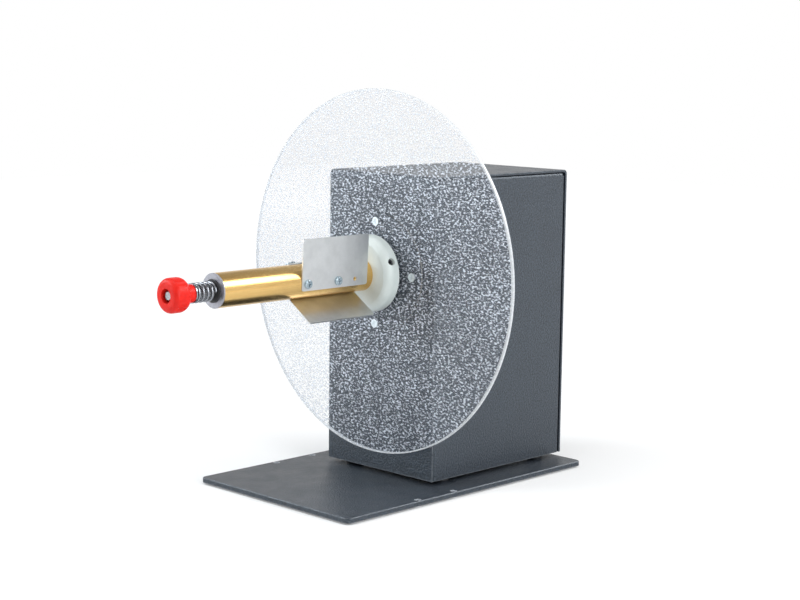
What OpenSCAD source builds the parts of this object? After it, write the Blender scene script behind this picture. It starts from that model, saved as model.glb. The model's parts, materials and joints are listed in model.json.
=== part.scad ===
// Desk-top label unwinder: a sheet-steel stand that carries a braked core holder.
// The spindle points along -Y, the stand's width is X and +Z is up, in millimetres.
// The origin is under the middle of the overall box, on the surface it stands on.

/* [Base plate] */
// Width of the base plate
base_w = 176.5; // [150:0.5:240]
// Depth of the base plate, front to back
base_d = 278.5; // [250:0.5:340]
// Thickness of the base plate
base_t = 4; // [3:0.5:8]
// Radius of the base plate's corners
base_corner_r = 5; // [3:0.5:14]
// Bevel on the upper edge of the base plate
base_bevel = 0.6; // [0.3:0.1:1.2]
// Diameter of the fixing holes along the base plate's sides
base_hole_d = 4.5; // [3:0.1:5]
// Distance of the fixing holes from the side edges
base_hole_inset = 4; // [3.8:0.1:8]
// Distance between the two fixing holes on a side
base_hole_pitch = 41; // [20:1:60]
// Distance from the front edge to the first fixing hole
base_hole_setback = 79.5; // [50:0.5:100]
// Diameter of the stick-on feet
foot_d = 18; // [10:1:28]
// Thickness of the stick-on feet
foot_t = 1.5; // [1:0.1:4]
// Distance from the plate's edges to the middle of a foot
foot_inset = 18; // [16:1:24]

/* [Housing] */
// Width of the housing
housing_w = 123; // [110:1:140]
// Depth of the housing, front to back
housing_d = 162.5; // [140:0.5:180]
// Height of the housing
housing_h = 247.5; // [240:0.5:300]
// How far the housing's back stands past the base plate
housing_overhang = 3; // [0:0.5:5]
// Thickness of the sheet steel
sheet_t = 2; // [1.9:0.1:2.5]
// Outer radius of the cover's two bends
cover_bend_r = 4; // [3:0.5:8]
// Outer radius of the side panels' bends
panel_bend_r = 2.8; // [2.6:0.1:3]
// Width of the side panels' turned-in flanges
panel_flange = 20; // [18:0.5:22]
// Square cut out of the side panels' upper corners so that the flanges can fold
panel_notch = 3; // [3:0.5:8]
// Gap between a side panel and the cover around it
panel_gap = 0.2; // [0.1:0.05:0.5]
// Height of the spacers that lift the housing off the base plate
spacer_t = 3; // [2:0.5:6]
// Diameter of those spacers
spacer_d = 13; // [11:0.5:15]
// Distance of the fixing screws from the housing's sides
fixing_inset = 10.5; // [10:0.5:11]
// Distance of the fixing screws from the housing's front and back
fixing_setback = 22; // [18:1:40]
// Width of both legs of the angles that stand inside the side panels
angle_leg = 18; // [16:0.5:20]
// Distance from the housing's front and back to the ends of the angles
angle_margin = 8; // [6:0.5:12]
// Distance of the cover screws from the housing's top and bottom
cover_screw_inset = 40; // [25:1:60]

/* [Spindle] */
// Diameter of the fixed spindle rod
rod_d = 10; // [8.5:0.5:11]
// Diameter of the rod's threaded front end
rod_end_d = 8; // [6:0.5:8]
// Diameter of the rod's collar
collar_d = 18; // [14:0.5:24]
// Bevel on the rod's front end
rod_bevel = 1; // [0.5:0.1:1.5]
// Length of rod that stands out behind its nut
rod_stub = 3; // [1:0.5:8]
// Width of the block that holds the rod inside the housing
block_w = 76; // [60:1:78]
// Height of that block
block_h = 70; // [56:1:90]
// Thickness of that block
block_t = 20; // [12:1:40]
// Distance of the block's screws from the spindle axis
block_screw_r = 22; // [17:0.5:25]
// Thickness of the rod's washer
rod_washer_t = 2; // [1:0.5:3]
// Diameter of the rod's washer
rod_washer_d = 21; // [20:1:30]
// Width across the flats of the rod's nut
rod_nut_af = 17; // [15:0.5:19]
// Thickness of the rod's nut
rod_nut_t = 8; // [5:0.5:12]

/* [Flange and brake] */
// Thickness of the felt brake pad
pad_t = 1.5; // [1:0.1:4]
// Radial width of the brake pad
pad_band = 16; // [8:0.5:18]
// Thickness of the flange behind the disc
flange_t = 2.4; // [2:0.1:4]
// Air film between the flange and the clear disc
disc_gap = 0.1; // [0.05:0.01:0.3]
// Distance from the disc's screws to the flange's rim
flange_margin = 6; // [4.5:0.5:10]
// Diameter of the clear disc
disc_d = 300; // [240:1:330]
// Thickness of the clear disc
disc_t = 3; // [2:0.5:6]
// Bevel on the clear disc's rim
disc_bevel = 0.4; // [0.2:0.1:0.8]
// Distance from the base plate up to the clear disc
disc_lift = 19.2; // [8:0.1:30]
// Distance from the hub's rim to the disc's screws
disc_screw_margin = 10.5; // [5:0.1:15]
// Number of screws in the disc
disc_screw_count = 4; // [3:1:8]

/* [Hub and tube] */
// Diameter of the white hub
hub_d = 63.4; // [56:0.2:74]
// Thickness of the white hub
hub_t = 15.4; // [14:0.1:20]
// Rounding of the hub's front edge
hub_round = 7; // [2:0.5:9]
// Diameter of the step on the hub's back that seats on the disc
hub_step_d = 52; // [40:1:54]
// Depth of that step, which leaves a gap behind the hub's rim
hub_step_t = 3.1; // [1:0.1:4]
// Diameter of the hub's grub screw
grub_d = 6; // [4:0.5:6]
// How far the grub screw lies below the hub's rim
grub_sink = 2.5; // [1:0.5:4]
// Distance from the hub's front to the middle of the grub screw
grub_setback = 6.1; // [5:0.1:7]
// Angle of the grub screw above the horizontal
grub_angle = 23; // [0:1:45]
// Diameter of the brass tube
tube_d = 27; // [26:0.5:32]
// Diameter of the brass tube's bore
tube_bore_d = 18; // [14:0.5:20]
// Length of bare tube in front of the vanes
tube_nose = 77.5; // [40:0.1:120]
// Thickness of the cap's lip over the end of the tube
cap_lip = 1; // [0.8:0.1:4]
// Bevel on the cap's edge
cap_bevel = 0.5; // [0.2:0.1:0.7]
// Length of the bearing in each end of the tube
bush_l = 16; // [8:1:30]

/* [Vanes] */
// Angle of the first vane from the horizontal
vane_angle = -3; // [-30:1:30]
// Length of a vane along the spindle
vane_l = 70; // [60:1:100]
// Width of a vane from root to tip
vane_w = 41; // [30:0.5:44]
// Thickness of a vane
vane_t = 1.2; // [0.8:0.1:2]
// Distance from a vane's root edge to its screws
vane_root = 5.5; // [5:0.1:8]
// Corner radius of a vane
vane_corner_r = 2; // [1:0.5:4]
// Gap between the hub and the vanes
vane_clear = 6.5; // [1:0.1:20]
// Depth of the flats milled on the tube for the vanes
flat_depth = 1; // [0.6:0.1:1.4]
// Distance from a vane's front edge to its first screw
vane_screw_first = 6; // [5:0.5:12]
// Distance between a vane's two screws
vane_screw_pitch = 32; // [16:1:36]
// Distance from the second screw to the spare hole
vane_spare_pitch = 18.5; // [8:0.5:20]
// Diameter of the spare hole
vane_spare_d = 3.4; // [2:0.1:5]

/* [Screws] */
// Shank diameter of the small screws
screw_d = 4; // [3:0.5:4]
// Head diameter of the small pan-head screws
pan_head_d = 7.4; // [7:0.1:8.4]
// Head height of the small pan-head screws
pan_head_h = 2; // [1.6:0.1:3]
// Width of the cross in a screw's head
cross_w = 1; // [0.6:0.1:1.2]
// Length of the cross in a screw's head
cross_l = 4; // [3:0.1:5]
// Depth of the cross in a screw's head
cross_depth = 1.2; // [0.6:0.1:1.4]
// Shank diameter of the screws that fix the housing
fixing_d = 5; // [4:0.5:5]
// Width across the flats of the nuts that fix the housing
fixing_nut_af = 8; // [8:0.5:10]
// Thickness of those nuts
fixing_nut_t = 4; // [3:0.5:6]

/* [Knob and spring] */
// Diameter of the knob's head
knob_d = 26.6; // [22:0.2:36]
// Length of the knob's head
knob_head_l = 16.5; // [14:0.5:26]
// Rounding of the head's front edge
knob_front_round = 4.2; // [1:0.1:4.5]
// Rounding of the head towards the neck
knob_rear_round = 6.3; // [3:0.1:6.5]
// Diameter of the knob's neck
knob_neck_d = 14; // [13.5:0.5:18]
// Length of the knob's neck
knob_neck_l = 6.5; // [2:0.5:10]
// Number of finger flutes around the knob
flute_count = 8; // [5:1:10]
// Radius of a finger flute
flute_r = 8; // [4:0.5:10]
// Depth of a finger flute
flute_depth = 0.35; // [0.2:0.05:1.5]
// Diameter of the recess in the knob's front
knob_recess_d = 11.2; // [10.8:0.1:14]
// Depth of the recess in the knob's front
knob_recess_l = 9; // [4:0.5:14]
// How far the rod's end lies inside the knob
rod_recess = 2; // [0.5:0.1:4]
// Outer diameter of the brass insert in the knob
insert_d = 10; // [9.6:0.1:10.6]
// Wire diameter of the spring
wire_d = 2.3; // [1.4:0.1:2.4]
// Outer diameter of the spring
spring_d = 15.6; // [14.5:0.1:18]
// Length of the spring with the brake slack
spring_l = 19.3; // [16:0.1:30]
// Number of turns in the spring
spring_turns = 4; // [3:0.5:5]
// Thickness of the plastic washer under the spring
thrust_t = 1.1; // [0.6:0.1:2]
// Diameter of the plastic washer under the spring
thrust_d = 18; // [16:0.5:24]
// Thickness of the steel washer between spring and knob
spring_washer_t = 0.8; // [0.6:0.1:2]

/* [Fits] */
// Radial clearance of a shaft that turns in its bore
running_fit = 0.05; // [0.02:0.01:0.1]
// Radial clearance of pieces that are pushed or screwed together
seat_fit = 0.03; // [0.02:0.01:0.05]
// Radial clearance of a screw in a plain hole
screw_clear = 0.25; // [0.15:0.05:0.4]
// Clearance around pieces that pass each other without touching
free_clear = 0.3; // [0.2:0.05:0.4]
// Gap between the brake pad and the flange with the brake slack
brake_gap = 0.1; // [0.05:0.05:0.3]

/* [Hidden] */
$fn = 96;

// How far a cutting shape runs past the face that it cuts
past = 1;

// Three vanes grip the core, each one a node of its own
vane_count = 3;

// Proportions of the screw heads
countersink_ratio = 0.9;
slot_w_ratio = 0.2;
slot_depth_ratio = 0.25;
crown_ratio = 0.45;

// Stations along the spindle, counted forwards from the housing's front face
block_front = -sheet_t;
block_rear = block_front - block_t;
rod_washer_rear = block_rear - rod_washer_t;
rod_nut_rear = rod_washer_rear - rod_nut_t;
rod_rear = rod_nut_rear - rod_stub;
flange_rear = pad_t + brake_gap;
disc_rear = flange_rear + flange_t + disc_gap;
disc_front = disc_rear + disc_t;
hub_front = disc_front + hub_t;
vane_rear = hub_front + vane_clear;
vane_front = vane_rear + vane_l;
cap_front = vane_front + tube_nose;
tube_front = cap_front - cap_lip;
spring_rear = cap_front + thrust_t;
washer_rear = spring_rear + spring_l;
knob_rear = washer_rear + spring_washer_t;
knob_front = knob_rear + knob_neck_l + knob_head_l;
rod_front = knob_front - rod_recess;

// Places across the stand; the overall box reaches from the knob to the cover's rear screws
front_y = (knob_front - housing_d - pan_head_h) / 2;
back_y = front_y + housing_d;
base_back_y = back_y - housing_overhang;
base_front_y = base_back_y - base_d;
base_top_z = foot_t + base_t;
housing_z = base_top_z + spacer_t;
axis_z = base_top_z + disc_lift + disc_d / 2;

// Radii that follow from the sizes above
disc_screw_r = hub_d / 2 + disc_screw_margin;
flange_r = disc_screw_r + flange_margin;
pad_r = flange_r - free_clear;
flat_r = tube_d / 2 - flat_depth;
vane_face_r = flat_r + vane_t;
wire_r = wire_d / 2;
coil_r = (spring_d - wire_d) / 2;
washer_hole_r = rod_end_d / 2 + free_clear;

// The housing's fixing screws stand on these places
fixing_x = housing_w / 2 - fixing_inset;
fixing_places = [
    for (x = [-fixing_x, fixing_x], y = [front_y + fixing_setback, back_y - fixing_setback]) [x, y]
];

// The cover is screwed to the side panels' rear flanges at these heights
cover_screw_heights = [housing_z + cover_screw_inset, housing_z + housing_h - cover_screw_inset];

// Screws along a vane, counted from its front edge
vane_screw_places = [vane_screw_first, vane_screw_first + vane_screw_pitch];
vane_spare_place = vane_screw_first + vane_screw_pitch + vane_spare_pitch;

steel_black = [0.11, 0.12, 0.14];
zinc = [0.72, 0.74, 0.75];
brass = [0.80, 0.62, 0.28];

// Puts children at a station, with their +Z pointing forwards along the spindle
module at_station(station) {
    translate([0, front_y - station, axis_z]) rotate([90, 0, 0]) children();
}

// Turns children that point along +X so that they stand around the spindle
module around_spindle(count, first = 0) {
    for (i = [0 : count - 1]) rotate([0, 0, first + i * 360 / count]) children();
}

// Tube standing on z = 0
module ring(outer_r, inner_r, height) {
    difference() {
        cylinder(r = outer_r, h = height);
        translate([0, 0, -past]) cylinder(r = inner_r, h = height + 2 * past);
    }
}

// Flat outline with round corners, from the origin
module rounded_outline(width, height, corner_r) {
    translate([corner_r, 0]) square([width - 2 * corner_r, height]);
    translate([0, corner_r]) square([width, height - 2 * corner_r]);
    for (x = [corner_r, width - corner_r], y = [corner_r, height - corner_r]) {
        translate([x, y]) circle(r = corner_r);
    }
}

// Outline with only its two upper corners rounded
module arch_outline(width, height, corner_r) {
    square([width, height - corner_r]);
    translate([corner_r, 0]) square([width - 2 * corner_r, height]);
    for (x = [corner_r, width - corner_r]) {
        translate([x, height - corner_r]) circle(r = corner_r);
    }
}

// Section of a sheet folded down on both sides
module channel_outline(width, height, bend_r) {
    difference() {
        arch_outline(width, height, bend_r);
        translate([sheet_t, -past]) {
            arch_outline(width - 2 * sheet_t, height - sheet_t + past, bend_r - sheet_t);
        }
    }
}

// Section of a sheet folded once, with the outer corner of its fold at x = 0 and y = rise
module angle_outline(reach, rise, bend_r) {
    square([sheet_t, rise - bend_r]);
    translate([bend_r, rise - sheet_t]) square([reach - bend_r, sheet_t]);
    translate([bend_r, rise - bend_r]) intersection() {
        difference() {
            circle(r = bend_r);
            circle(r = bend_r - sheet_t);
        }
        translate([-bend_r, 0]) square(bend_r);
    }
}

// Countersunk screw with its flat head at z = 0 and its shank along -Z
module countersunk_screw(shank_d, length) {
    head_r = shank_d * countersink_ratio;
    difference() {
        rotate_extrude() polygon([
            [0, 0], [head_r, 0], [shank_d / 2, shank_d / 2 - head_r],
            [shank_d / 2, -length], [0, -length]
        ]);
        cross_recess(shank_d * slot_w_ratio, shank_d, shank_d * slot_depth_ratio);
    }
}

// Room for such a screw in the pieces that it goes through
module countersunk_hole(shank_d, length, clear) {
    head_r = shank_d * countersink_ratio;
    hole_r = shank_d / 2 + clear;
    rotate_extrude() polygon([
        [0, past], [head_r + clear, past], [head_r + clear, 0],
        [hole_r, shank_d / 2 - head_r], [hole_r, -length - past], [0, -length - past]
    ]);
}

// Cross slot sunk into a head whose top is at z = 0
module cross_recess(width, length, depth) {
    for (turn = [0, 90]) rotate([0, 0, turn]) {
        translate([-length / 2, -width / 2, -depth]) cube([length, width, depth + past]);
    }
}

// Pan-head screw that seats on z = 0, with its shank along -Z
module pan_screw(length) {
    head_r = pan_head_d / 2;
    crown = pan_head_h * crown_ratio;
    difference() {
        union() {
            translate([0, 0, -length]) cylinder(d = screw_d, h = length + pan_head_h / 2);
            rotate_extrude() {
                square([head_r, pan_head_h - crown]);
                square([head_r - crown, pan_head_h]);
                translate([head_r - crown, pan_head_h - crown]) circle(r = crown);
            }
        }
        translate([0, 0, pan_head_h]) cross_recess(cross_w, cross_l, cross_depth);
    }
}

// Plate with round corners and a bevelled upper edge, centred in X and starting at y = 0
module bevelled_plate(width, depth, height, corner_r, bevel) {
    across = width - 2 * corner_r;
    along = depth - 2 * corner_r;
    translate([-width / 2, depth - corner_r, 0]) rotate([90, 0, 0]) linear_extrude(along) {
        bevelled_section(width, height, bevel);
    }
    translate([-across / 2, 0, 0]) rotate([90, 0, 90]) linear_extrude(across) {
        bevelled_section(depth, height, bevel);
    }
    for (x = [-across / 2, across / 2], y = [corner_r, depth - corner_r]) {
        translate([x, y, 0]) rotate_extrude() polygon([
            [0, 0], [corner_r, 0], [corner_r, height - bevel], [corner_r - bevel, height], [0, height]
        ]);
    }
}

// Section of that plate
module bevelled_section(width, height, bevel) {
    polygon([
        [0, 0], [width, 0], [width, height - bevel], [width - bevel, height],
        [bevel, height], [0, height - bevel]
    ]);
}

module base_plate() color(steel_black) difference() {
    translate([0, base_front_y, foot_t]) {
        bevelled_plate(base_w, base_d, base_t, base_corner_r, base_bevel);
    }
    for (side = [-1, 1], row = [0, 1]) {
        hole_x = side * (base_w / 2 - base_hole_inset);
        hole_y = base_front_y + base_hole_setback + row * base_hole_pitch;
        translate([hole_x, hole_y, foot_t - past]) cylinder(d = base_hole_d, h = base_t + 2 * past);
    }
    for (place = fixing_places) translate([place.x, place.y, foot_t]) {
        mirror([0, 0, 1]) countersunk_hole(fixing_d, base_t, screw_clear);
    }
}

module rubber_feet() color([0.07, 0.07, 0.07]) {
    left_x = base_w / 2 - foot_inset;
    for (x = [-left_x, left_x], y = [base_front_y + foot_inset, base_back_y - foot_inset]) {
        translate([x, y, 0]) cylinder(d = foot_d, h = foot_t);
    }
}

module housing_spacers() color([0.08, 0.08, 0.08]) {
    for (place = fixing_places) translate([place.x, place.y, base_top_z]) {
        ring(spacer_d / 2, fixing_d / 2 + screw_clear, spacer_t);
    }
}

module housing_screws() color(zinc) {
    length = base_t + spacer_t + sheet_t + fixing_nut_t;
    for (place = fixing_places) translate([place.x, place.y, foot_t]) {
        mirror([0, 0, 1]) countersunk_screw(fixing_d, length);
    }
}

module housing_nuts() color(zinc) {
    for (place = fixing_places) translate([place.x, place.y, housing_z + sheet_t]) difference() {
        cylinder(d = fixing_nut_af / cos(30), h = fixing_nut_t, $fn = 6);
        translate([0, 0, -past]) {
            cylinder(r = fixing_d / 2 + seat_fit, h = fixing_nut_t + 2 * past);
        }
    }
}

// One bent sheet makes the housing's front, top and back
module housing_cover() color(steel_black) difference() {
    translate([-housing_w / 2, front_y, housing_z]) rotate([90, 0, 90]) {
        linear_extrude(housing_w) channel_outline(housing_d, housing_h, cover_bend_r);
    }
    at_station(-sheet_t - past) cylinder(r = collar_d / 2 + free_clear, h = sheet_t + 2 * past);
    at_station(0) around_spindle(4, 45) translate([block_screw_r, 0, 0]) {
        countersunk_hole(screw_d, sheet_t, screw_clear);
    }
    for (x = [-fixing_x, fixing_x], z = cover_screw_heights) {
        translate([x, back_y + past, z]) rotate([90, 0, 0]) {
            cylinder(r = screw_d / 2 + screw_clear, h = sheet_t + 2 * past);
        }
    }
}

// Side panel with its front, back and top edges folded inwards, on the left of the housing
module side_panel() {
    panel_d = housing_d - 2 * (sheet_t + panel_gap);
    panel_h = housing_h - sheet_t - panel_gap;
    panel_y = front_y + sheet_t + panel_gap;
    difference() {
        union() {
            translate([panel_flange - housing_w / 2, panel_y, housing_z]) rotate([0, 0, 90]) {
                linear_extrude(panel_h - panel_notch) channel_outline(panel_d, panel_flange, panel_bend_r);
            }
            translate([-housing_w / 2, panel_y + panel_d - panel_notch, housing_z]) rotate([90, 0, 0]) {
                linear_extrude(panel_d - 2 * panel_notch) {
                    angle_outline(panel_flange, panel_h, panel_bend_r);
                }
            }
        }
        for (z = cover_screw_heights) translate([-fixing_x, back_y, z]) rotate([90, 0, 0]) {
            cylinder(r = screw_d / 2 + seat_fit, h = 2 * sheet_t + panel_gap + past);
        }
    }
}

module side_panel_left() color(steel_black) side_panel();

module side_panel_right() color(steel_black) mirror([1, 0, 0]) side_panel();

// Angles welded inside the side panels; their lower legs take the screws from the base plate
module mounting_angles() color(steel_black) {
    angle_l = housing_d - 2 * angle_margin;
    for (side = [0, 1]) mirror([side, 0, 0]) difference() {
        translate([sheet_t - housing_w / 2, back_y - angle_margin, housing_z + angle_leg]) {
            rotate([90, 0, 0]) mirror([0, 1, 0]) linear_extrude(angle_l) {
                angle_outline(angle_leg, angle_leg, panel_bend_r);
            }
        }
        for (y = [front_y + fixing_setback, back_y - fixing_setback]) {
            translate([-fixing_x, y, housing_z - past]) {
                cylinder(r = fixing_d / 2 + screw_clear, h = sheet_t + 2 * past);
            }
        }
    }
}

module cover_screws() color(zinc) {
    length = 2 * sheet_t + panel_gap + screw_d;
    for (x = [-fixing_x, fixing_x], z = cover_screw_heights) {
        translate([x, back_y, z]) rotate([-90, 0, 0]) pan_screw(length);
    }
}

module spindle_block() color([0.62, 0.63, 0.65]) at_station(block_rear) difference() {
    translate([-block_w / 2, -block_h / 2, 0]) cube([block_w, block_h, block_t]);
    translate([0, 0, -past]) cylinder(r = rod_d / 2 + seat_fit, h = block_t + 2 * past);
    around_spindle(4, 45) translate([block_screw_r, 0, -past]) {
        cylinder(r = screw_d / 2 + seat_fit, h = block_t + 2 * past);
    }
}

module block_screws() color(zinc) at_station(0) around_spindle(4, 45) {
    translate([block_screw_r, 0, 0]) countersunk_screw(screw_d, sheet_t + block_t / 2);
}

// Fixed rod with a collar that seats on the block and a thinner threaded front end
module spindle_rod() color(zinc) at_station(0) rotate_extrude() polygon([
    [0, rod_rear], [rod_d / 2 - rod_bevel, rod_rear], [rod_d / 2, rod_rear + rod_bevel],
    [rod_d / 2, block_front], [collar_d / 2, block_front], [collar_d / 2, 0], [rod_d / 2, 0],
    [rod_d / 2, cap_front], [rod_end_d / 2, cap_front], [rod_end_d / 2, rod_front - rod_bevel],
    [rod_end_d / 2 - rod_bevel, rod_front], [0, rod_front]
]);

module rod_washer() color(zinc) at_station(rod_washer_rear) {
    ring(rod_washer_d / 2, rod_d / 2 + screw_clear, rod_washer_t);
}

module rod_nut() color(zinc) at_station(rod_nut_rear) difference() {
    cylinder(d = rod_nut_af / cos(30), h = rod_nut_t, $fn = 6);
    translate([0, 0, -past]) cylinder(r = rod_d / 2 + seat_fit, h = rod_nut_t + 2 * past);
}

module brake_pad() color([0.30, 0.29, 0.27]) at_station(0) ring(pad_r, pad_r - pad_band, pad_t);

module backing_flange() color(steel_black) at_station(flange_rear) difference() {
    ring(flange_r, tube_d / 2 + seat_fit, flange_t);
    around_spindle(disc_screw_count) translate([disc_screw_r, 0, -past]) {
        cylinder(r = screw_d / 2 + seat_fit, h = flange_t + 2 * past);
    }
}

module clear_disc() color([0.75, 0.80, 0.84, 0.45]) at_station(disc_rear) difference() {
    rotate_extrude($fn = 180) polygon([
        [0, 0], [disc_d / 2 - disc_bevel, 0], [disc_d / 2, disc_bevel],
        [disc_d / 2, disc_t - disc_bevel], [disc_d / 2 - disc_bevel, disc_t], [0, disc_t]
    ]);
    translate([0, 0, -past]) cylinder(r = tube_d / 2 + screw_clear, h = disc_t + 2 * past);
    around_spindle(disc_screw_count) translate([disc_screw_r, 0, disc_t]) {
        countersunk_hole(screw_d, disc_t, screw_clear);
    }
}

module disc_screws() color(zinc) at_station(disc_front) around_spindle(disc_screw_count) {
    translate([disc_screw_r, 0, 0]) countersunk_screw(screw_d, disc_t + disc_gap + flange_t);
}

// The grub screw stands in the hub's rim and points at the spindle axis
module grub_axis() {
    rotate([0, 0, grub_angle]) translate([0, 0, hub_t - grub_setback]) rotate([0, 90, 0]) children();
}

module hub_collar() color([0.93, 0.93, 0.90]) at_station(disc_front) difference() {
    rotate_extrude() {
        square([hub_step_d / 2, hub_t]);
        translate([0, hub_step_t]) square([hub_d / 2, hub_t - hub_step_t - hub_round]);
        translate([0, hub_step_t]) square([hub_d / 2 - hub_round, hub_t - hub_step_t]);
        translate([hub_d / 2 - hub_round, hub_t - hub_round]) circle(r = hub_round);
    }
    translate([0, 0, -past]) cylinder(r = tube_d / 2 + seat_fit, h = hub_t + 2 * past);
    grub_axis() cylinder(r = grub_d / 2 + seat_fit, h = hub_d / 2 + past);
}

module hub_grub_screw() color([0.16, 0.16, 0.17]) at_station(disc_front) grub_axis() difference() {
    grub_top = hub_d / 2 - grub_sink;
    key_d = grub_d / 2 / cos(30);
    translate([0, 0, tube_d / 2 + seat_fit]) {
        cylinder(d = grub_d, h = grub_top - tube_d / 2 - seat_fit);
    }
    translate([0, 0, grub_top - grub_d / 2]) cylinder(d = key_d, h = grub_d, $fn = 6);
}

module core_tube() color(brass) at_station(0) difference() {
    translate([0, 0, flange_rear]) ring(tube_d / 2, tube_bore_d / 2, tube_front - flange_rear);
    around_spindle(vane_count, vane_angle) {
        translate([flat_r, -tube_d / 2, vane_rear - free_clear]) {
            cube([tube_d, tube_d, vane_l + 2 * free_clear]);
        }
        for (place = vane_screw_places) translate([0, 0, vane_front - place]) rotate([0, 90, 0]) {
            cylinder(r = screw_d / 2 + seat_fit, h = tube_d);
        }
    }
}

module rear_bush() color([0.66, 0.48, 0.25]) at_station(flange_rear) {
    ring(tube_bore_d / 2 - seat_fit, rod_d / 2 + running_fit, bush_l);
}

// Turned cap that closes the tube and runs on the rod
module front_cap() color([0.78, 0.78, 0.80]) at_station(tube_front) difference() {
    rotate_extrude() polygon([
        [0, -bush_l], [tube_bore_d / 2 - seat_fit, -bush_l], [tube_bore_d / 2 - seat_fit, 0],
        [tube_d / 2, 0], [tube_d / 2, cap_lip - cap_bevel], [tube_d / 2 - cap_bevel, cap_lip],
        [0, cap_lip]
    ]);
    translate([0, 0, -bush_l - past]) {
        cylinder(r = rod_d / 2 + running_fit, h = bush_l + cap_lip + 2 * past);
    }
}

// Sheet vane on one of the tube's flats, with its tip on the side that the sheet leans to
module core_vane(index) {
    turn = vane_angle + index * 360 / vane_count;
    at_station(vane_rear) rotate([0, 0, turn]) translate([flat_r, -vane_root, 0]) {
        rotate([90, 0, 90]) linear_extrude(vane_t) difference() {
            rounded_outline(vane_w, vane_l, vane_corner_r);
            for (place = vane_screw_places) translate([vane_root, vane_l - place]) {
                circle(r = screw_d / 2 + screw_clear);
            }
            translate([vane_root, vane_l - vane_spare_place]) circle(d = vane_spare_d);
        }
    }
}

module core_vane_1() color(zinc) core_vane(0);

module core_vane_2() color(zinc) core_vane(1);

module core_vane_3() color(zinc) core_vane(2);

module vane_screws() color(zinc) at_station(vane_front) around_spindle(vane_count, vane_angle) {
    length = vane_face_r - tube_bore_d / 2 - free_clear;
    for (place = vane_screw_places) translate([vane_face_r, 0, -place]) {
        rotate([0, 90, 0]) pan_screw(length);
    }
}

module thrust_washer() color([0.13, 0.13, 0.13]) at_station(cap_front) {
    ring(thrust_d / 2, washer_hole_r, thrust_t);
}

// Middle line of the spring's wire: two short legs along the spindle and a helix between them
rings_per_turn = 8;
wire_sides = 6;
// Room between the spring's ends and the washers that they press on
seat_gap = 0.1;
helix_start = seat_gap + wire_d;
helix_rise = spring_l - 2 * helix_start;
helix_steps = round(spring_turns * rings_per_turn);
function helix_angle(i) = 360 * spring_turns * i / helix_steps;
function around(angle, height) = [coil_r * cos(angle), coil_r * sin(angle), height];
wire_line = concat(
    [around(0, seat_gap)],
    [for (i = [0 : helix_steps]) around(helix_angle(i), helix_start + helix_rise * i / helix_steps)],
    [around(helix_angle(helix_steps), spring_l - seat_gap)]
);
last_point = len(wire_line) - 1;

// Least clear distance between turns, measured on the wire's middle line
function turn_gap(i, j) = norm(wire_line[i] - wire_line[j]) - wire_d;
least_turn_gap = min([
    for (i = [0 : last_point], j = [i + rings_per_turn / 2 : 1 : last_point]) turn_gap(i, j)
]);
echo(least_gap_between_spring_turns_mm = least_turn_gap);

function unit(v) = v / norm(v);
function outward(i) = unit([wire_line[i].x, wire_line[i].y, 0]);
function heading(i) = unit(wire_line[min(i + 1, last_point)] - wire_line[max(i - 1, 0)]);
function wire_point(i, side) =
    let (turn = 360 * side / wire_sides, across = cross(heading(i), outward(i)))
    wire_line[i] + wire_r * (cos(turn) * outward(i) + sin(turn) * across);

module tension_spring() color(zinc) at_station(spring_rear) {
    points = [for (i = [0 : last_point], side = [0 : wire_sides - 1]) wire_point(i, side)];
    sides = [
        for (i = [0 : last_point - 1], side = [0 : wire_sides - 1], half = [0, 1])
            let (next = (side + 1) % wire_sides, here = i * wire_sides, ahead = here + wire_sides)
            half == 0 ? [here + side, ahead + side, here + next]
                      : [here + next, ahead + side, ahead + next]
    ];
    ends = [
        for (side = [1 : wire_sides - 2], half = [0, 1])
            let (last = last_point * wire_sides)
            half == 0 ? [0, side, side + 1] : [last, last + side + 1, last + side]
    ];
    polyhedron(points, concat(sides, ends));
}

module spring_washer() color(zinc) at_station(washer_rear) {
    ring(spring_d / 2, washer_hole_r, spring_washer_t);
}

// Turned knob with a long rounded shoulder, a neck, finger flutes and a front recess
module tension_knob() color([0.80, 0.06, 0.06]) at_station(knob_rear) {
    head_r = knob_d / 2;
    knob_l = knob_neck_l + knob_head_l;
    difference() {
        rotate_extrude() {
            square([knob_neck_d / 2, knob_l]);
            translate([0, knob_neck_l]) {
                square([head_r - knob_rear_round, knob_head_l]);
                square([head_r - knob_front_round, knob_head_l]);
            }
            translate([0, knob_neck_l + knob_rear_round]) {
                square([head_r, knob_head_l - knob_rear_round - knob_front_round]);
            }
            translate([head_r - knob_rear_round, knob_neck_l + knob_rear_round]) {
                circle(r = knob_rear_round);
            }
            translate([head_r - knob_front_round, knob_l - knob_front_round]) {
                circle(r = knob_front_round);
            }
        }
        around_spindle(flute_count) translate([head_r + flute_r - flute_depth, 0, knob_neck_l]) {
            cylinder(r = flute_r, h = knob_head_l + past);
        }
        translate([0, 0, -past]) cylinder(r = insert_d / 2 + seat_fit, h = knob_l + 2 * past);
        translate([0, 0, knob_l - knob_recess_l]) {
            cylinder(d = knob_recess_d, h = knob_recess_l + past);
        }
    }
}

// Threaded brass insert, flush with the knob's neck and with the floor of its recess
module knob_insert() color(brass) at_station(knob_rear) {
    ring(insert_d / 2, rod_end_d / 2 + running_fit, knob_neck_l + knob_head_l - knob_recess_l);
}

base_plate();
rubber_feet();
housing_cover();
side_panel_right();
side_panel_left();
mounting_angles();
housing_spacers();
housing_screws();
housing_nuts();
cover_screws();
spindle_block();
block_screws();
spindle_rod();
rod_washer();
rod_nut();
brake_pad();
backing_flange();
clear_disc();
disc_screws();
hub_collar();
hub_grub_screw();
core_tube();
rear_bush();
front_cap();
core_vane_1();
core_vane_2();
core_vane_3();
vane_screws();
thrust_washer();
tension_spring();
spring_washer();
tension_knob();
knob_insert();
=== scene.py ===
import bpy
import json
import math
import numpy as np
from mathutils import Matrix, Vector


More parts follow.
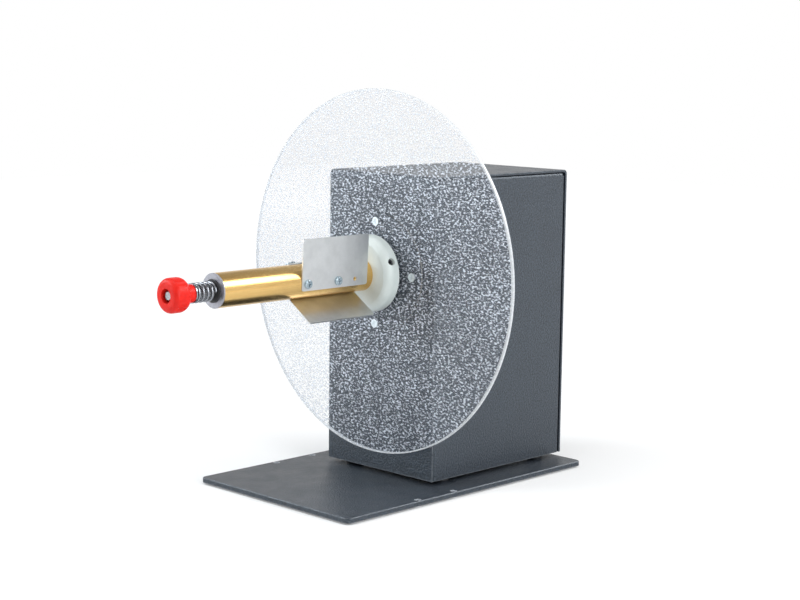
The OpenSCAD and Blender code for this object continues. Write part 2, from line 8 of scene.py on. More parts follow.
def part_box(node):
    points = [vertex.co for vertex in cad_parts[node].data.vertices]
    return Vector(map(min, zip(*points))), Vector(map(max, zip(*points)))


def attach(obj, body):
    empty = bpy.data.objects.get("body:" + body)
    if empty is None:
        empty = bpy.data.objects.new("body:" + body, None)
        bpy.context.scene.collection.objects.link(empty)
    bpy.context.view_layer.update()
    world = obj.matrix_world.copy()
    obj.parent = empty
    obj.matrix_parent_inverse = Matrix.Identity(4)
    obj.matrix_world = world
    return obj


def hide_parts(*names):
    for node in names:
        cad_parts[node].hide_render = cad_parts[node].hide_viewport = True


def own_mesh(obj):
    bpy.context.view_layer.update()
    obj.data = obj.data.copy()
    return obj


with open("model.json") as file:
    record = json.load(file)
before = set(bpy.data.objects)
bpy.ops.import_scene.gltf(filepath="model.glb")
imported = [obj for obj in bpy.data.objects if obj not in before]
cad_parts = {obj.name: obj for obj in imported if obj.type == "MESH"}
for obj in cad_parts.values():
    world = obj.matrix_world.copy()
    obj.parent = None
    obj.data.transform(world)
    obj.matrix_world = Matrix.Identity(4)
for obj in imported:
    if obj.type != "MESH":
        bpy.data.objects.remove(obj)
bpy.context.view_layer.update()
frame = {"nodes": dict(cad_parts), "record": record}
print("frame loaded,", len(frame["nodes"]), "nodes")

# places that the frame gives, in metres
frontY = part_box("housing_cover")[0].y
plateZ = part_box("base_plate")[0].z
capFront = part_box("front_cap")[0].y
discLow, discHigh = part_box("clear_disc")
rodLow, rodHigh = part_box("spindle_rod")
spindleZ = (discLow.z + discHigh.z) / 2
spindleAxis = (0.0, 0.0, spindleZ)


# camera at the photograph's angle

cameraLook = {
    "azimuth": 44.20,                   # degrees round from the spindle's front
    "elevation": 8.03,
    "roll": 0.78,
    "distance": 1.4527,
    "focalPixels": 1723.5,
    "pictureWidth": 800,
    "shiftPixels": (17.6, -5.1),        # target's place from the middle of the picture
    "behindFront": 0.0438,              # target, from the housing's front face
    "abovePlate": 0.150,                # target, from the plate's underside
}


def makeCamera(look):
    azimuth, elevation, roll = (math.radians(look[key]) for key in ("azimuth", "elevation", "roll"))
    back = Vector((
        math.sin(azimuth) * math.cos(elevation),
        -math.cos(azimuth) * math.cos(elevation),
        math.sin(elevation),
    ))
    level = Vector((math.cos(azimuth), math.sin(azimuth), 0))
    upright = back.cross(level)
    right = level * math.cos(roll) + upright * math.sin(roll)
    up = upright * math.cos(roll) - level * math.sin(roll)
    target = Vector((0, frontY + look["behindFront"], plateZ + look["abovePlate"]))
    data = bpy.data.cameras.new("photoCamera")
    data.lens = look["focalPixels"] * data.sensor_width / look["pictureWidth"]
    data.shift_x = -look["shiftPixels"][0] / look["pictureWidth"]
    data.shift_y = look["shiftPixels"][1] / look["pictureWidth"]
    camera = bpy.data.objects.new("photoCamera", data)
    turn = Matrix((right, up, back)).transposed().to_4x4()
    camera.matrix_world = Matrix.Translation(target + back * look["distance"]) @ turn
    bpy.context.scene.collection.objects.link(camera)
    bpy.context.scene.camera = camera


makeCamera(cameraLook)
print("camera placed")


# small helpers for shader nodes

def startMaterial(name):
    material = bpy.data.materials.new(name)
    material.use_nodes = True
    tree = material.node_tree
    return material, tree, tree.nodes["Principled BSDF"]


def objectCoords(tree):
    return tree.nodes.new("ShaderNodeTexCoord").outputs["Object"]


def feed(tree, socket, term):
    if isinstance(term, bpy.types.NodeSocket):
        tree.links.new(term, socket)
    else:
        socket.default_value = term


def calc(tree, operation, *terms):
    node = tree.nodes.new("ShaderNodeMath")
    node.operation = operation
    for socket, term in zip(node.inputs, terms):
        feed(tree, socket, term)
    return node.outputs[0]


def vectorCalc(tree, operation, first, second):
    node = tree.nodes.new("ShaderNodeVectorMath")
    node.operation = operation
    feed(tree, node.inputs[0], first)
    feed(tree, node.inputs["Scale" if operation == "SCALE" else 1], second)
    return node.outputs[0]


def vectorLength(tree, vector):
    node = tree.nodes.new("ShaderNodeVectorMath")
    node.operation = "LENGTH"
    tree.links.new(vector, node.inputs[0])
    return node.outputs["Value"]


def ramp(tree, value, low, high, newLow, newHigh):
    node = tree.nodes.new("ShaderNodeMapRange")
    for socket, term in zip(node.inputs, (value, low, high, newLow, newHigh)):
        feed(tree, socket, term)
    return node.outputs[0]


def blendColour(tree, share, first, second):
    node = tree.nodes.new("ShaderNodeMix")
    node.data_type = "RGBA"
    feed(tree, node.inputs[0], share)
    feed(tree, node.inputs[6], first)
    feed(tree, node.inputs[7], second)
    return node.outputs[2]


def noise(tree, vector, scale, detail=2.0, roughness=0.5):
    node = tree.nodes.new("ShaderNodeTexNoise")
    feed(tree, node.inputs["Vector"], vector)
    feed(tree, node.inputs["Scale"], scale)
    feed(tree, node.inputs["Detail"], detail)
    feed(tree, node.inputs["Roughness"], roughness)
    return node.outputs[0]


def bump(tree, surface, height, strength, distance):
    node = tree.nodes.new("ShaderNodeBump")
    feed(tree, node.inputs["Strength"], strength)
    feed(tree, node.inputs["Distance"], distance)
    feed(tree, node.inputs["Height"], height)
    tree.links.new(node.outputs[0], surface.inputs["Normal"])


def startGroup(name, inputs, outputs):
    group = bpy.data.node_groups.new(name, "ShaderNodeTree")
    for label, kind in inputs:
        group.interface.new_socket(label, in_out="INPUT", socket_type="NodeSocket" + kind)
    for label, kind in outputs:
        group.interface.new_socket(label, in_out="OUTPUT", socket_type="NodeSocket" + kind)
    entry = group.nodes.new("NodeGroupInput").outputs
    leaving = group.nodes.new("NodeGroupOutput").inputs
    return group, entry, leaving


def placeGroup(tree, name, **values):
    node = tree.nodes.new("ShaderNodeGroup")
    node.node_tree = bpy.data.node_groups[name]
    for label, value in values.items():
        feed(tree, node.inputs[label], value)
    return node.outputs


# effects that several finishes share

mottleLook = {"detail": 4.0, "roughness": 0.6, "from": (0.32, 0.68)}


def makeMottle(look):
    # soft colour patches: noise spread between a dark and a light colour
    group, entry, leaving = startGroup(
        "mottle",
        [("Vector", "Vector"), ("Scale", "Float"), ("Dark", "Color"), ("Light", "Color")],
        [("Color", "Color"), ("Value", "Float")],
    )
    clouds = noise(group, entry["Vector"], entry["Scale"], look["detail"], look["roughness"])
    spread = ramp(group, clouds, *look["from"], 0.0, 1.0)
    group.links.new(blendColour(group, spread, entry["Dark"], entry["Light"]), leaving["Color"])
    group.links.new(spread, leaving["Value"])


edgeWearAndHighlightLook = {"scale": 240.0, "detail": 3.0, "roughness": 0.6, "from": (0.3, 0.56)}


def makeEdgeWearAndHighlight(look):
    # edges of a box, partly worn and partly a painted highlight: the second smallest distance to its faces is
    # small, broken up by noise
    group, entry, leaving = startGroup(
        "edgeWearAndHighlight",
        [("Vector", "Vector"), ("Centre", "Vector"), ("Half", "Vector"), ("Width", "Float")],
        [("Mask", "Float")],
    )
    offset = vectorCalc(group, "SUBTRACT", entry["Vector"], entry["Centre"])
    inside = vectorCalc(group, "SUBTRACT", entry["Half"], vectorCalc(group, "ABSOLUTE", offset, offset))
    parts = group.nodes.new("ShaderNodeSeparateXYZ")
    group.links.new(inside, parts.inputs[0])
    x, y, z = parts.outputs
    lower = calc(group, "MINIMUM", x, y)
    upper = calc(group, "MAXIMUM", x, y)
    second = calc(group, "MAXIMUM", lower, calc(group, "MINIMUM", upper, z))
    near = ramp(group, calc(group, "DIVIDE", second, entry["Width"]), 0.0, 1.0, 1.0, 0.0)
    clouds = noise(group, entry["Vector"], look["scale"], look["detail"], look["roughness"])
    patches = ramp(group, clouds, *look["from"], 0.0, 1.0)
    group.links.new(calc(group, "MULTIPLY", near, patches), leaving["Mask"])


turnedLook = {"detail": 3.0, "roughness": 0.7}


def makeTurnedLines(look):
    # lathe marks: noise that changes only with the distance from the spindle and along it
    group, entry, leaving = startGroup(
        "turnedLines",
        [("Vector", "Vector"), ("Axis", "Vector"), ("Scale", "Float")],
        [("Height", "Float")],
    )
    parts = group.nodes.new("ShaderNodeSeparateXYZ")
    group.links.new(vectorCalc(group, "SUBTRACT", entry["Vector"], entry["Axis"]), parts.inputs[0])
    x, y, z = parts.outputs
    squares = calc(group, "ADD", calc(group, "MULTIPLY", x, x), calc(group, "MULTIPLY", z, z))
    place = group.nodes.new("ShaderNodeCombineXYZ")
    group.links.new(calc(group, "SQRT", squares), place.inputs[0])
    group.links.new(y, place.inputs[1])
    lines = noise(group, place.outputs[0], entry["Scale"], look["detail"], look["roughness"])
    group.links.new(lines, leaving["Height"])


dustLook = {"detail": 6.0, "roughness": 0.65, "from": (0.4, 0.75), "least": 0.2, "facing": (0.6, 1.0)}


def makeRestingDust(look):
    # thin dust on faces that look up
    group, entry, leaving = startGroup(
        "restingDust",
        [("Vector", "Vector"), ("Scale", "Float"), ("Amount", "Float")],
        [("Mask", "Float")],
    )
    parts = group.nodes.new("ShaderNodeSeparateXYZ")
    group.links.new(group.nodes.new("ShaderNodeNewGeometry").outputs["Normal"], parts.inputs[0])
    facing = ramp(group, parts.outputs[2], *look["facing"], 0.0, 1.0)
    clouds = noise(group, entry["Vector"], entry["Scale"], look["detail"], look["roughness"])
    patches = ramp(group, clouds, *look["from"], look["least"], 1.0)
    share = calc(group, "MULTIPLY", facing, patches)
    group.links.new(calc(group, "MULTIPLY", share, entry["Amount"]), leaving["Mask"])


streakLook = {"detail": 4.0, "roughness": 0.65}


def makeStreaks(look):
    # long fine streaks: noise squeezed by a stretch along each axis
    group, entry, leaving = startGroup(
        "streaks",
        [("Vector", "Vector"), ("Stretch", "Vector"), ("Scale", "Float")],
        [("Value", "Float")],
    )
    place = vectorCalc(group, "MULTIPLY", entry["Vector"], entry["Stretch"])
    group.links.new(noise(group, place, entry["Scale"], look["detail"], look["roughness"]), leaving["Value"])


makeMottle(mottleLook)
makeEdgeWearAndHighlight(edgeWearAndHighlightLook)
makeTurnedLines(turnedLook)
makeRestingDust(dustLook)
makeStreaks(streakLook)
print("shared effects ready")


# finishes

def mottle(tree, place, look):
    return placeGroup(
        tree, "mottle", Vector=place, Scale=look["patchScale"], Dark=look["dark"], Light=look["light"]
    )


def streaks(tree, place, look):
    lines = placeGroup(
        tree, "streaks", Vector=place, Stretch=look["stretch"], Scale=look["streakScale"]
    )["Value"]
    return lines, ramp(tree, lines, *look["streakFrom"], 0.0, 1.0)


def paint(tree, surface, colour, share, look):
    # the share runs from the smoothest places to the roughest
    tree.links.new(colour, surface.inputs["Base Color"])
    tree.links.new(ramp(tree, share, 0.0, 1.0, *look["roughness"]), surface.inputs["Roughness"])


def latheMarks(tree, surface, place, look, strength):
    lines = placeGroup(
        tree, "turnedLines", Vector=place, Axis=spindleAxis, Scale=look["lineScale"]
    )["Height"]
    bump(tree, surface, lines, strength, look["lineDepth"])


coatLook = {
    "slots": ("black_coat", "flange_black"),
    "dark": (0.014, 0.018, 0.025, 1),
    "light": (0.018, 0.023, 0.031, 1),
    # edge colour: partly wear, partly a painted highlight of the bent edges
    "wearAndHighlight": (0.15, 0.16, 0.175, 1),
    "dust": (0.30, 0.30, 0.29, 1),
    "patchScale": 55.0,
    "grainFrom": (0.3, 0.7),
    "grain": (0.0, 2.4),                # brightness of the coat's fine speckle
    "peelScale": 700.0,                 # orange peel, which also places the speckle
    "peelDepth": 0.0012,
    "peelStrength": 0.5,
    "wearAndHighlightWidth": 0.0009,                # thin bright line along the edges, partly wear and partly a painted highlight
    "dustScale": 30.0,
    "dustAmount": 0.02,
    "roughness": (0.28, 0.38),
    "specular": 0.9,
    "specularTint": (0.80, 0.90, 1.0, 1),
    "holeRim": 0.0006,                  # width of the painted glint ring round a bolt hole
    "bare": (0.45, 0.47, 0.50, 1),
}


perMetre = 1000                         # millimetres, as the record's mounts use them


def boltRim(tree, place, width):
    # distance to the nearest bolt axis, from the pattern's middle with both signs folded together
    bolts = next(mount for mount in frame["record"]["mounts"] if mount["name"] == "base_bolts")
    size = bolts["dims"]
    offset = vectorCalc(tree, "SUBTRACT", place, tuple(bolts["pos_m"]))
    folded = vectorCalc(tree, "ABSOLUTE", offset, offset)
    corner = (size["spacing_x_mm"] / 2 / perMetre, size["spacing_y_mm"] / 2 / perMetre, 0)
    parts = tree.nodes.new("ShaderNodeSeparateXYZ")
    tree.links.new(vectorCalc(tree, "SUBTRACT", folded, corner), parts.inputs[0])
    x, y = parts.outputs[:2]
    squares = calc(tree, "ADD", calc(tree, "MULTIPLY", x, x), calc(tree, "MULTIPLY", y, y))
    return calc(tree, "LESS_THAN", calc(tree, "SQRT", squares), size["hole_r_mm"] / perMetre + width)


def powderCoat(node):
    look = coatLook
    low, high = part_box(node)
    material, tree, surface = startMaterial("powderCoat." + node)
    place = objectCoords(tree)
    patches = mottle(tree, place, look)
    middle = (low + high) / 2
    half = (high - low) / 2
    wearAndHighlight = placeGroup(
        tree, "edgeWearAndHighlight", Vector=place, Centre=middle, Half=half, Width=look["wearAndHighlightWidth"]
    )["Mask"]
    dust = placeGroup(
        tree, "restingDust", Vector=place, Scale=look["dustScale"], Amount=look["dustAmount"]
    )["Mask"]
    peel = noise(tree, place, look["peelScale"])
    grain = ramp(tree, peel, *look["grainFrom"], *look["grain"])
    speckled = vectorCalc(tree, "SCALE", patches["Color"], grain)
    # the edges get a colour that is partly wear and partly a painted highlight
    colour = blendColour(tree, dust, blendColour(tree, wearAndHighlight, speckled, look["wearAndHighlight"]), look["dust"])
    if node == "base_plate":
        # the base plate gets a painted glint: a light ring round each bolt hole
        colour = blendColour(tree, boltRim(tree, place, look["holeRim"]), colour, look["bare"])
    paint(tree, surface, colour, patches["Value"], look)
    surface.inputs["Specular IOR Level"].default_value = look["specular"]
    surface.inputs["Specular Tint"].default_value = look["specularTint"]
    bump(tree, surface, peel, look["peelStrength"], look["peelDepth"])
    return material


metalMarks = 0.6                        # strength of the lathe marks

metalLooks = {
    "zinc_plate": {"dark": (0.24, 0.32, 0.37, 1), "light": (0.58, 0.66, 0.70, 1), "roughness": (0.14, 0.26),
                   "patchScale": 900.0, "lineScale": 1800.0, "lineDepth": 0.00002},
    # a lighter copy of the plating for the disc's screws: a painted highlight
    "zinc_painted_glint": {"dark": (0.60, 0.67, 0.71, 1), "light": (0.86, 0.91, 0.94, 1), "roughness": (0.34, 0.46),
                    "patchScale": 900.0, "lineScale": 1800.0, "lineDepth": 0.00002},
    "rod_steel": {"dark": (0.32, 0.33, 0.34, 1), "light": (0.46, 0.47, 0.48, 1), "roughness": (0.2, 0.34),
                  "patchScale": 300.0, "lineScale": 2600.0, "lineDepth": 0.00003},
    "block_aluminium": {"dark": (0.58, 0.58, 0.60, 1), "light": (0.70, 0.70, 0.72, 1),
                        "roughness": (0.28, 0.42), "patchScale": 120.0, "lineScale": 1500.0,
                        "lineDepth": 0.00003},
    "black_oxide": {"dark": (0.12, 0.12, 0.13, 1), "light": (0.19, 0.19, 0.20, 1), "roughness": (0.3, 0.45),
                    "patchScale": 700.0, "lineScale": 1800.0, "lineDepth": 0.00002},
    "bush_bronze": {"dark": (0.42, 0.26, 0.12, 1), "light": (0.55, 0.36, 0.18, 1), "roughness": (0.4, 0.55),
                    "patchScale": 600.0, "lineScale": 2400.0, "lineDepth": 0.00003},
    "cap_aluminium": {"dark": (0.33, 0.33, 0.365, 1), "light": (0.44, 0.44, 0.48, 1),
                      "roughness": (0.38, 0.5), "patchScale": 250.0, "lineScale": 3200.0,
                      "lineDepth": 0.00004},
    "spring_steel": {"dark": (0.24, 0.25, 0.27, 1), "light": (0.36, 0.37, 0.40, 1), "roughness": (0.16, 0.28),
                     "patchScale": 500.0, "lineScale": 2200.0, "lineDepth": 0.00002},
}


def turnedMetal(slot):
    look = metalLooks[slot]
    material, tree, surface = startMaterial(slot)
    place = objectCoords(tree)
    patches = mottle(tree, place, look)
    surface.inputs["Metallic"].default_value = 1.0
    paint(tree, surface, patches["Color"], patches["Value"], look)
    latheMarks(tree, surface, place, look, metalMarks)
    return material


brassLook = {
    "dark": (0.77, 0.49, 0.175, 1),
    "light": (0.87, 0.575, 0.22, 1),
    "stretch": (1.0, 0.06, 1.0),        # polishing streaks run along the tube
    "streakScale": 900.0,
    "streakFrom": (0.3, 0.7),
    "lineScale": 3000.0,
    "lineDepth": 0.00001,
    "lineStrength": 0.5,
    "roughness": (0.2, 0.26),
}


def polishedBrass():
    look = brassLook
    material, tree, surface = startMaterial("polishedBrass")
    place = objectCoords(tree)
    share = streaks(tree, place, look)[1]
    surface.inputs["Metallic"].default_value = 1.0
    paint(tree, surface, blendColour(tree, share, look["dark"], look["light"]), share, look)
    latheMarks(tree, surface, place, look, look["lineStrength"])
    return material


vaneLook = {
    "dark": (0.59, 0.60, 0.60, 1),
    "light": (0.69, 0.70, 0.70, 1),
    "stretch": (1.0, 0.04, 1.0),        # rolling grain runs along the spindle
    "streakScale": 1400.0,
    "streakFrom": (0.3, 0.7),
    "patchScale": 70.0,
    "grainDepth": 0.00003,
    "grainStrength": 0.4,
    "roughness": (0.3, 0.42),
}


def rolledSheet():
    look = vaneLook
    material, tree, surface = startMaterial("rolledSheet")
    place = objectCoords(tree)
    lines, share = streaks(tree, place, look)
    surface.inputs["Metallic"].default_value = 1.0
    paint(tree, surface, mottle(tree, place, look)["Color"], share, look)
    bump(tree, surface, lines, look["grainStrength"], look["grainDepth"])
    return material


plasticMarks = 0.5

plasticLooks = {
    "white_nylon": {"dark": (0.61, 0.66, 0.635, 1), "light": (0.69, 0.74, 0.715, 1), "roughness": (0.3, 0.42),
                    "patchScale": 60.0, "lineScale": 2400.0, "lineDepth": 0.00004, "specular": 0.5},
    "red_plastic": {"dark": (0.73, 0.013, 0.008, 1), "light": (0.83, 0.020, 0.012, 1),
                    "roughness": (0.34, 0.44), "patchScale": 160.0, "lineScale": 1500.0,
                    "lineDepth": 0.00003, "specular": 0.22},
    "black_nylon": {"dark": (0.025, 0.025, 0.026, 1), "light": (0.045, 0.045, 0.047, 1),
                    "roughness": (0.4, 0.55), "patchScale": 300.0, "lineScale": 2600.0,
                    "lineDepth": 0.00003, "specular": 0.4},
}


def turnedPlastic(slot):
    look = plasticLooks[slot]
    material, tree, surface = startMaterial(slot)
    place = objectCoords(tree)
    patches = mottle(tree, place, look)
    surface.inputs["Specular IOR Level"].default_value = look["specular"]
    paint(tree, surface, patches["Color"], patches["Value"], look)
    latheMarks(tree, surface, place, look, plasticMarks)
    return material


softGrain = {"detail": 4.0, "roughness": 0.7, "strength": 0.8}

softLooks = {
    "foot_rubber": {"dark": (0.020, 0.020, 0.020, 1), "light": (0.034, 0.034, 0.034, 1),
                    "roughness": (0.7, 0.85), "patchScale": 220.0, "grainScale": 1600.0,
                    "grainDepth": 0.0001},
    "brake_felt": {"dark": (0.20, 0.19, 0.17, 1), "light": (0.34, 0.33, 0.30, 1), "roughness": (0.9, 1.0),
                   "patchScale": 800.0, "grainScale": 2600.0, "grainDepth": 0.0003},
}


def softSurface(slot):
    look = softLooks[slot]
    material, tree, surface = startMaterial(slot)
    place = objectCoords(tree)
    patches = mottle(tree, place, look)
    paint(tree, surface, patches["Color"], patches["Value"], look)
    grain = noise(tree, place, look["grainScale"], softGrain["detail"], softGrain["roughness"])
    bump(tree, surface, grain, softGrain["strength"], look["grainDepth"])
    return material


discLook = {
    "gap": (0.42, 0.455, 0.525, 1),     # colour between the pebbles
    "speck": (0.72, 0.77, 0.86, 1),     # painted glint: the lighter colour that stands in for a pebble catching the light
    "cover": (0.02, 0.92),              # how much a gap and a pebble hide of what lies behind
    "rear": (0.10, 0.11, 0.13, 1),      # the sheet's own grey, laid on its smooth rear face
    "rearCover": 0.1,
    "sawnBand": 0.0012,                 # the rim and this much beside it are left matt by the saw
    "sawnCover": 0.7,
    "sawn": (0.78, 0.80, 0.83, 1),
    "pebbleScale": 580.0,               # pebbles about 2 mm across
    "pebbleStretch": (0.7, 1.0, 1.25),  # rolled a little longer across than up
    "pebbleDetail": 1.0,
    "pebbleFrom": (0.43, 0.70),
    "pebbleDepth": 0.0007,
    "pebbleStrength": 1.0,
    "faceBand": 0.0002,                 # what lies this close to the front counts as the front face
    "patchScale": 22.0,                 # wide patches where the pebbles hide a little less or more
    "patchFrom": (0.35, 0.65),
    "patchCover": (0.88, 1.12),
    "roughness": (0.24, 0.32),
    "ior": 1.9,                         # a little high, as light comes back from the sheet's rear face too
}


def pebbledAcrylic():
    # the front face is rolled into fine pebbles, whose glints are painted as a lighter, more opaque colour on
    # each pebble; between them the sheet is clear
    look = discLook
    material, tree, surface = startMaterial("pebbledAcrylic")
    place = objectCoords(tree)
    parts = tree.nodes.new("ShaderNodeSeparateXYZ")
    tree.links.new(place, parts.inputs[0])
    x, y, z = parts.outputs
    frontFace = calc(tree, "LESS_THAN", y, discLow.y + look["faceBand"])
    rise = calc(tree, "SUBTRACT", z, spindleZ)
    squares = calc(tree, "ADD", calc(tree, "MULTIPLY", x, x), calc(tree, "MULTIPLY", rise, rise))
    radius = calc(tree, "SQRT", squares)
    sawn = calc(tree, "GREATER_THAN", radius, (discHigh.x - discLow.x) / 2 - look["sawnBand"])
    stretched = vectorCalc(tree, "MULTIPLY", place, look["pebbleStretch"])
    grain = noise(tree, stretched, look["pebbleScale"], look["pebbleDetail"])
    pebble = ramp(tree, grain, *look["pebbleFrom"], 0.0, 1.0)
    patch = ramp(tree, noise(tree, place, look["patchScale"]), *look["patchFrom"], *look["patchCover"])
    cover = calc(tree, "MULTIPLY", ramp(tree, pebble, 0.0, 1.0, *look["cover"]), patch)
    cover = ramp(tree, frontFace, 0.0, 1.0, look["rearCover"], cover)
    tree.links.new(ramp(tree, sawn, 0.0, 1.0, cover, look["sawnCover"]), surface.inputs["Alpha"])
    # painted glint: each pebble gets the lighter speck colour in place of its reflection of the lamps
    colour = blendColour(tree, frontFace, look["rear"], blendColour(tree, pebble, look["gap"], look["speck"]))
    paint(tree, surface, blendColour(tree, sawn, colour, look["sawn"]), pebble, look)
    surface.inputs["IOR"].default_value = look["ior"]
    height = calc(tree, "MULTIPLY", grain, frontFace)
    bump(tree, surface, height, look["pebbleStrength"], look["pebbleDepth"])
    return material


def makeFinishes():
    finishes = {slot: turnedMetal(slot) for slot in metalLooks}
    finishes.update({slot: turnedPlastic(slot) for slot in plasticLooks})
    finishes.update({slot: softSurface(slot) for slot in softLooks})
    finishes["tube_brass"] = polishedBrass()
    finishes["vane_steel"] = rolledSheet()
    finishes["clear_acrylic"] = pebbledAcrylic()
    return finishes


finishes = makeFinishes()
for part in frame["record"]["subparts"]:
    node = part["node"]
    slot = part["material_slot"]
    materials = frame["nodes"][node].data.materials
    materials.clear()
    # the disc's screws get a lighter copy of the plating, a painted highlight that makes them show brighter
    # than the other plated pieces
    finish = "zinc_painted_glint" if node == "disc_screws" else slot
    materials.append(powderCoat(node) if slot in coatLook["slots"] else finishes[finish])
# the pebbles' mask would darken the housing behind the disc
frame["nodes"]["clear_disc"].visible_shadow = False


# new pieces, as surfaces on a grid

def gridMesh(name, points, closeEnds, material):
    # points is rows x columns x 3; each row is a closed ring, and closeEnds puts a face on the first and last
    rows, columns = points.shape[:2]
    index = np.arange(rows * columns).reshape(rows, columns)
    ahead = np.roll(index, -1, axis=1)
    quads = np.stack([index[:-1], ahead[:-1], ahead[1:], index[1:]], axis=-1).reshape(-1, 4)
    mesh = bpy.data.meshes.new(name)
    corners = quads.reshape(-1)
    ends = [index[0][::-1], index[-1]] if closeEnds else []
    loops = np.concatenate([corners, *ends]).astype(np.int32)
    sizes = np.concatenate([np.full(len(quads), 4), *[[columns]] * len(ends)]).astype(np.int32)
    mesh.vertices.add(rows * columns)
    mesh.vertices.foreach_set("co", points.reshape(-1))
    mesh.loops.add(len(loops))
    mesh.loops.foreach_set("vertex_index", loops)
    mesh.polygons.add(len(sizes))
    mesh.polygons.foreach_set("loop_start", np.concatenate([[0], np.cumsum(sizes)[:-1]]).astype(np.int32))
    mesh.polygons.foreach_set("use_smooth", np.ones(len(sizes), bool))
    mesh.update(calc_edges=True)
    mesh.validate()
    mesh.materials.append(material)
    piece = bpy.data.objects.new(name, mesh)
    bpy.context.scene.collection.objects.link(piece)
    return piece


springLook = {
    "wire": 0.0023,                     # wire diameter
    "outer": 0.0156,                    # coil's outer diameter
    "closedTurns": 0.5,                 # flat turns at each end
    "openTurns": 3.5,
    "closedPitch": 0.00236,
    "ringsPerTurn": 48,
    "sides": 14,
}


def makeSpring(look):
    # helix whose pitch is small over the end turns and wide between, with a round wire carried along it:
    # (R cos a, y(a), R sin a) + r (cos s * outward + sin s * across)
    low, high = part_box("tension_spring")
    wireRadius = look["wire"] / 2
    coilRadius = look["outer"] / 2 - wireRadius
    turns = 2 * look["closedTurns"] + look["openTurns"]
    steps = round(turns * look["ringsPerTurn"])
    turn = np.linspace(0, turns, steps + 1)
    closedRise = look["closedTurns"] * look["closedPitch"]
    length = high.y - low.y - look["wire"]
    knots = [0, look["closedTurns"], turns - look["closedTurns"], turns]
    rise = np.interp(turn, knots, [0, closedRise, length - closedRise, length])
    # the pitch changes gently, over half a turn
    smooth = np.hanning(look["ringsPerTurn"] // 2 + 1)
    padded = np.pad(rise, len(smooth) // 2, mode="reflect", reflect_type="odd")
    rise = np.convolve(padded, smooth / smooth.sum(), mode="valid")
    angle = 2 * np.pi * turn
    outward = np.stack([np.cos(angle), np.zeros_like(angle), np.sin(angle)], axis=1)
    middle = np.array([0, high.y - wireRadius, spindleZ]) + coilRadius * outward
    middle[:, 1] -= rise
    along = np.gradient(middle, axis=0)
    along /= np.linalg.norm(along, axis=1, keepdims=True)
    across = np.cross(along, outward)
    side = 2 * np.pi * np.arange(look["sides"]) / look["sides"]
    ring = np.cos(side)[:, None] * outward[:, None, :] + np.sin(side)[:, None] * across[:, None, :]
    piece = gridMesh("springCoil", middle[:, None, :] + wireRadius * ring, True, finishes["spring_steel"])
    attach(piece, "stand")
    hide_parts("tension_spring")
    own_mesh(piece)


makeSpring(springLook)
print("spring wound")


rodLook = {
    "radius": 0.005,
    "endRadius": 0.004,
    "collarDepth": 0.002,
    "bevel": 0.001,
    "pitch": 0.00125,                   # thread of the front end
    "threadDepth": 0.00062,
    "threadSlope": 1.25,                # flanks of the groove, with a flat crest and a flat root
    "threadCrest": 0.1,
    "sides": 72,
    "rowsPerPitch": 12,
    "sharpAngle": 40,
}


def makeRod(look):
    # turned profile carried round the spindle; the front end's radius falls in a wave that climbs
    # with the angle: depth * clip(slope * |2 phase - 1| - crest, 0, 1)
    collar = (rodHigh.x - rodLow.x) / 2
    backEnd = rodHigh.y
    step = capFront
    tip = rodLow.y
    collarBack = frontY + look["collarDepth"]
    profile = np.array([
        [0.0, backEnd], [look["radius"] - look["bevel"], backEnd], [look["radius"], backEnd - look["bevel"]],
        [look["radius"], collarBack], [collar, collarBack], [collar, frontY], [look["radius"], frontY],
        [look["radius"], step], [look["endRadius"], step],
    ])
    rows = round((step - tip) / look["pitch"] * look["rowsPerPitch"])
    threadY = np.linspace(step, tip, rows + 1)[1:]
    radius = np.concatenate([profile[:, 0], np.full(rows, look["endRadius"]), [0.0]])
    along = np.concatenate([profile[:, 1], threadY, [tip]])
    angle = 2 * np.pi * np.arange(look["sides"]) / look["sides"]
    phase = (along[:, None] / look["pitch"] + angle[None, :] / (2 * np.pi)) % 1
    wave = np.clip(look["threadSlope"] * np.abs(2 * phase - 1) - look["threadCrest"], 0, 1)
    groove = look["threadDepth"] * wave
    threaded = ((along < step - look["pitch"] / 2) & (radius > 0))[:, None]
    bevelled = np.clip(look["endRadius"] - look["bevel"] + (along - tip), 0, 1)[:, None]
    reach = np.where(threaded, np.minimum(radius[:, None] - groove, bevelled), radius[:, None])
    level = np.repeat(along[:, None], len(angle), 1)
    points = np.stack([reach * np.cos(angle), level, spindleZ + reach * np.sin(angle)], axis=-1)
    piece = gridMesh("threadedRod", points, False, finishes["rod_steel"])
    piece.data.set_sharp_from_angle(angle=math.radians(look["sharpAngle"]))
    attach(piece, "stand")
    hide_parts("spindle_rod")


makeRod(rodLook)
print("rod turned and threaded")


# floor, background and lamps

stageLook = {
    "floorSize": 6.0,
    "floorColour": (0.8, 0.8, 0.8, 1),
    "floorRoughness": 0.9,
    "floorReach": (0.5, 2.6),           # distances between which the floor's glow grows
    "floorGlow": (0.22, 0.76),          # as the camera sees it
    "floorMirrored": (0.02, 0.62),      # as shiny faces mirror it
    "skyLight": 0.32,                   # as it lights the object
    "skySeen": 1.0,
    "skyMirrored": 0.86,
    "ceilingMirrored": 0.4,             # straight up, against the white walls
    "ceilingFrom": (0.25, 0.6),         # where walls turn to ceiling, as the rise of a direction
}


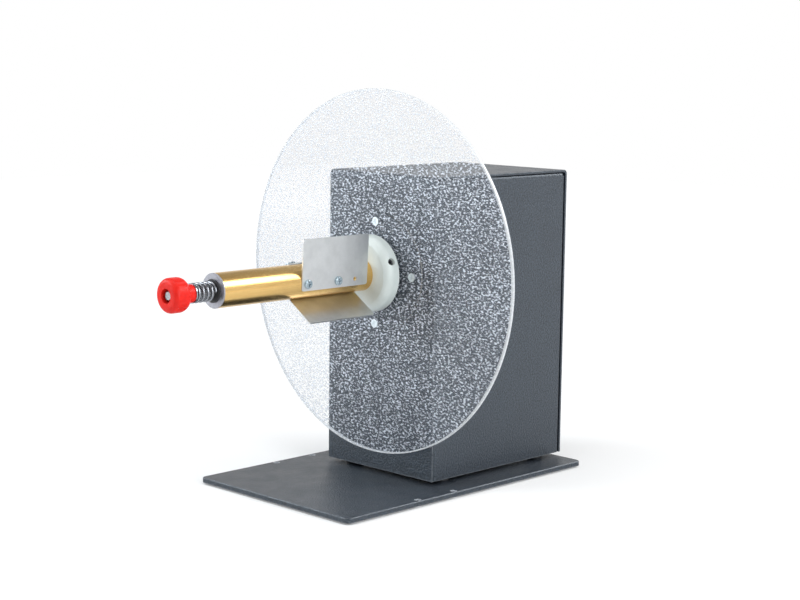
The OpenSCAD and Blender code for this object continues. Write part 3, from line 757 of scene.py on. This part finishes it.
def makeFloor(look):
    half = look["floorSize"] / 2
    mesh = bpy.data.meshes.new("floor")
    corners = [(-half, -half, 0), (half, -half, 0), (half, half, 0), (-half, half, 0)]
    mesh.from_pydata(corners, [], [(0, 1, 2, 3)])
    material, tree, surface = startMaterial("paleFloor")
    surface.inputs["Base Color"].default_value = look["floorColour"]
    surface.inputs["Roughness"].default_value = look["floorRoughness"]
    surface.inputs["Specular IOR Level"].default_value = 0.0
    surface.inputs["Emission Color"].default_value = (1, 1, 1, 1)
    # the lamps leave the far floor darker, so the glow grows with the distance from the object
    distance = vectorLength(tree, objectCoords(tree))
    path = tree.nodes.new("ShaderNodeLightPath").outputs
    glow = ramp(tree, distance, *look["floorReach"], *look["floorGlow"])
    mirroredGlow = ramp(tree, distance, *look["floorReach"], *look["floorMirrored"])
    seen = calc(tree, "MULTIPLY", path["Is Camera Ray"], glow)
    mirrored = calc(tree, "MULTIPLY", path["Is Glossy Ray"], mirroredGlow)
    tree.links.new(calc(tree, "MAXIMUM", seen, mirrored), surface.inputs["Emission Strength"])
    mesh.materials.append(material)
    floor = bpy.data.objects.new("floor", mesh)
    bpy.context.scene.collection.objects.link(floor)


def makeSky(look):
    world = bpy.data.worlds.new("studio")
    world.use_nodes = True
    tree = world.node_tree
    background = tree.nodes["Background"]
    background.inputs["Color"].default_value = (1, 1, 1, 1)
    parts = tree.nodes.new("ShaderNodeSeparateXYZ")
    tree.links.new(tree.nodes.new("ShaderNodeTexCoord").outputs["Generated"], parts.inputs[0])
    rise = parts.outputs[2]
    mirrored = ramp(tree, rise, *look["ceilingFrom"], look["skyMirrored"], look["ceilingMirrored"])
    path = tree.nodes.new("ShaderNodeLightPath").outputs
    strength = ramp(tree, path["Is Glossy Ray"], 0.0, 1.0, look["skyLight"], mirrored)
    strength = ramp(tree, path["Is Camera Ray"], 0.0, 1.0, strength, look["skySeen"])
    tree.links.new(strength, background.inputs["Strength"])
    bpy.context.scene.world = world


lampLooks = {
    "keyBox": {"place": (-1.05, -1.0, 0.85), "size": (1.0, 0.8), "power": 17.0, "colour": (0.88, 0.95, 1.0)},
    "backBox": {"place": (0.95, 1.35, 1.25), "size": (1.2, 0.8), "power": 20.0, "colour": (1.0, 1.0, 1.0)},
    "topBox": {"place": (-0.2, -0.5, 2.0), "size": (1.2, 1.2), "power": 11.0, "colour": (1.0, 1.0, 1.0)},
    "sideBox": {"place": (1.9, -0.3, 0.8), "size": (0.9, 1.4), "power": 22.0, "colour": (0.92, 0.97, 1.0)},
}


def makeLamp(name, look):
    data = bpy.data.lights.new(name, "AREA")
    data.shape = "RECTANGLE"
    data.size, data.size_y = look["size"]
    data.energy = look["power"]
    data.color = look["colour"]
    lamp = bpy.data.objects.new(name, data)
    aim = Vector(spindleAxis) - Vector(look["place"])
    lamp.location = look["place"]
    lamp.rotation_euler = aim.to_track_quat("-Z", "Y").to_euler()
    bpy.context.scene.collection.objects.link(lamp)


makeFloor(stageLook)
makeSky(stageLook)
for name, look in lampLooks.items():
    makeLamp(name, look)
bpy.context.scene.view_settings.view_transform = "Standard"
print("stage lit")
